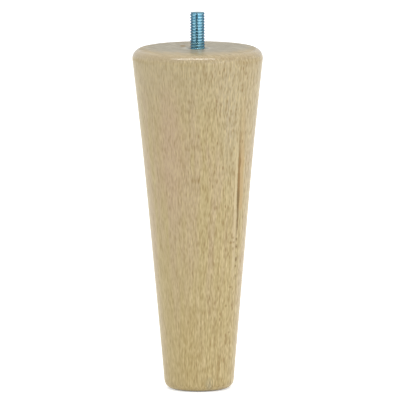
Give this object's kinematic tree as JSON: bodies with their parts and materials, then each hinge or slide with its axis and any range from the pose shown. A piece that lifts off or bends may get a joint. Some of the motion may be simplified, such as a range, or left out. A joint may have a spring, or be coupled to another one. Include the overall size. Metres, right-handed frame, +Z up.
{
  "type": "furniture leg",
  "caption": "Round tapered wooden furniture leg, wider at the top, with a threaded steel hanger bolt standing out of its seat so that it screws into a sofa or cabinet base.",
  "frame": {"origin": "middle of the foot, on the floor", "axes": "+Z up along the leg's axis, from the foot to the stud; X and Y are equal on a round leg"},
  "size_m": [0.058, 0.058, 0.1684],
  "materials": {
    "lacquered_beech": "clear satin lacquer on turned beech",
    "zinc_plated_steel": "bright zinc plating with a blue passivate"
  },
  "bodies": {
    "root": {"tapered_leg": "lacquered_beech", "hanger_bolt": "zinc_plated_steel"}
  },
  "joints": []
}
